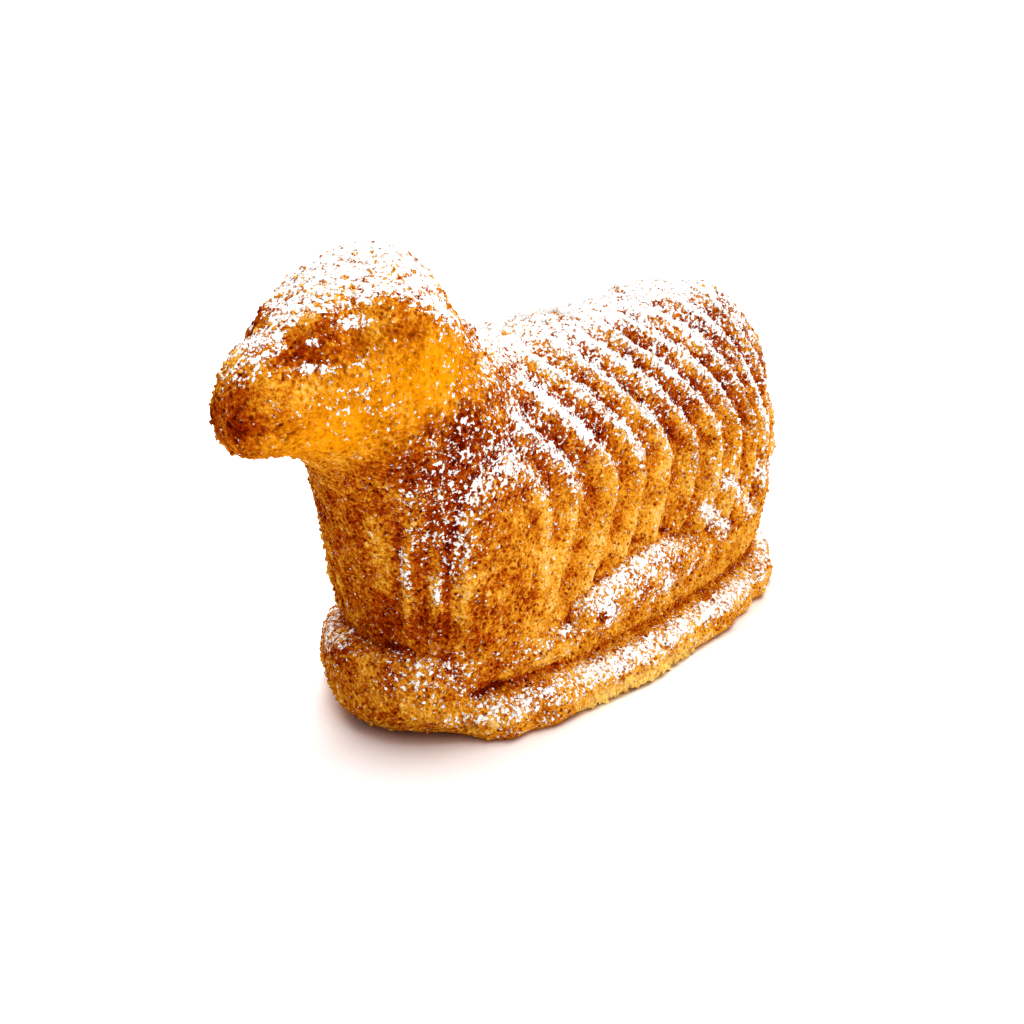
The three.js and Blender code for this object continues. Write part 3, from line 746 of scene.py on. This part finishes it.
# Crumbs: bits of the sponge's own crust that stand up from it all over, and paler flakes along the foot
# where batter was pressed out of the mould and torn off. They have the colour of the crust under them.
CRUMB_KINDS = [
    {"name": "crust_crumbs", "ball": "clump", "count": 9500, "size": (0.4, 1.0)},
    {"name": "foot_flakes", "ball": "lump", "count": 260, "size": (0.5, 1.5)},
]

# How far each kind's tone spreads from the crust's, and how much of the pale sponge it shows at least
CRUMB_TONES = [(0.12, 0.0), (0.08, 0.7)]
CRUMB_PALER = 0.03
SUGAR_SHED = 0.25

heights = points[corners, 2]
bare = (1 - 0.65 * covered) * smoothstep(heights.mean(axis=1), 0.8, 2.5)
low_edge = smoothstep(heights.mean(axis=1), 5, 2.5) * (heights.min(axis=1) > 0.05)
torn = low_edge * smoothstep(crumb[corners].mean(axis=1), 0.1, 0.5)
for kind, weight, (spread, pale) in zip(CRUMB_KINDS, (bare, torn), CRUMB_TONES):
    piece, under, shares = scatter(kind, weight, sponge, flat=0.8, sunk=0.28)
    each = len(piece.data.vertices) // kind["count"]
    here = {name: (values[under] * shares).sum(axis=1) for name, values in layers.items()}
    here["tone"] = here["tone"] + dice.normal(CRUMB_PALER, spread, kind["count"])
    here["crumb"] = np.maximum(here["crumb"], pale)
    here["sugar"] = here["sugar"] - SUGAR_SHED
    add_layers(piece.data, {name: np.repeat(values, each) for name, values in here.items()})


# Studio: a white sheet under the cake between white walls, lit by a broad soft light from behind overhead
# and a weaker one on the near flank. Sheet and walls are seen brighter than they shine on the cake, so they
# wash out to white outside the shadow.
FLOOR_HALF = 8.0
FLOOR_WHITE = "fcfcfc"
FLOOR_SEEN = (1.4, 1.4, 1.4, 1.0)
CONTACT = {"reach": 0.03, "dark": 0.20, "open": 0.58, "towards": (0.5, 0.1, 1.0), "samples": 2}
CONTACT_SHADE = (0.42, 0.20, 0.13, 1.0)
WALL_WHITE = "ffffff"
WALL_LIGHT = 0.42
WALL_SEEN = 1.1
LIGHTS = [
    {"name": "top_light", "from": (0.30, 0.27, 1.0), "spread": 64.0, "strength": 3.5},
    {"name": "flank_light", "from": (-0.05, -0.9, 0.5), "spread": 60.0, "strength": 1.9},
]

work = bmesh.new()
bmesh.ops.create_grid(work, x_segments=1, y_segments=1, size=FLOOR_HALF)
floor = bpy.data.objects.new("floor", bpy.data.meshes.new("floor"))
work.to_mesh(floor.data)
work.free()
bpy.context.scene.collection.objects.link(floor)

# White card: matte paper, with the warm shadow close under the foot that the washed-out sheet would lose
paper, nodes, surface = new_material("white_card")
seen = add_node(nodes, "ShaderNodeLightPath", {}).outputs["Is Camera Ray"]
slant = Vector(CONTACT["towards"]).normalized()
towards = add_node(nodes, "ShaderNodeCombineXYZ", {0: slant.x, 1: slant.y, 2: slant.z}).outputs[0]
near = add_node(
    nodes,
    "ShaderNodeAmbientOcclusion",
    {"Distance": CONTACT["reach"], "Normal": towards},
    samples=CONTACT["samples"],
).outputs["AO"]
lit = add_node(
    nodes,
    "ShaderNodeMapRange",
    {0: near, 1: CONTACT["dark"], 2: CONTACT["open"]},
    interpolation_type="SMOOTHSTEP",
).outputs[0]
shaded = add_node(
    nodes,
    "ShaderNodeMix",
    {0: lit, 6: CONTACT_SHADE, 7: FLOOR_SEEN},
    data_type="RGBA",
).outputs[2]
bright = add_node(
    nodes,
    "ShaderNodeMix",
    {0: seen, 6: colour(FLOOR_WHITE), 7: shaded},
    data_type="RGBA",
).outputs[2]
shader = add_node(nodes, "ShaderNodeBsdfDiffuse", {"Color": bright})
nodes.links.new(shader.outputs[0], surface)
floor.data.materials.append(paper)

world = bpy.data.worlds.new("white_walls")
world.use_nodes = True
nodes = world.node_tree
nodes.nodes.clear()
seen = add_node(nodes, "ShaderNodeLightPath", {}).outputs["Is Camera Ray"]
strength = add_node(nodes, "ShaderNodeMapRange", {0: seen, 3: WALL_LIGHT, 4: WALL_SEEN}).outputs[0]
walls = add_node(nodes, "ShaderNodeBackground", {"Color": colour(WALL_WHITE), "Strength": strength})
add_node(nodes, "ShaderNodeOutputWorld", {"Surface": walls.outputs[0]})
bpy.context.scene.world = world
for setting in LIGHTS:
    lamp = bpy.data.lights.new(setting["name"], "SUN")
    lamp.angle = math.radians(setting["spread"])
    lamp.energy = setting["strength"]
    light = bpy.data.objects.new(setting["name"], lamp)
    light.rotation_euler = Vector(setting["from"]).to_track_quat("Z", "Y").to_euler()
    bpy.context.scene.collection.objects.link(light)

# The flank light, the last one made, is kept off the sheet, so it doesn't brighten the shadow under the bow
kept_off = bpy.data.collections.new("kept_off")
kept_off.objects.link(floor)
kept_off.collection_objects[0].light_linking.link_state = "EXCLUDE"
light.light_linking.receiver_collection = kept_off
bpy.context.scene.view_settings.view_transform = "Standard"
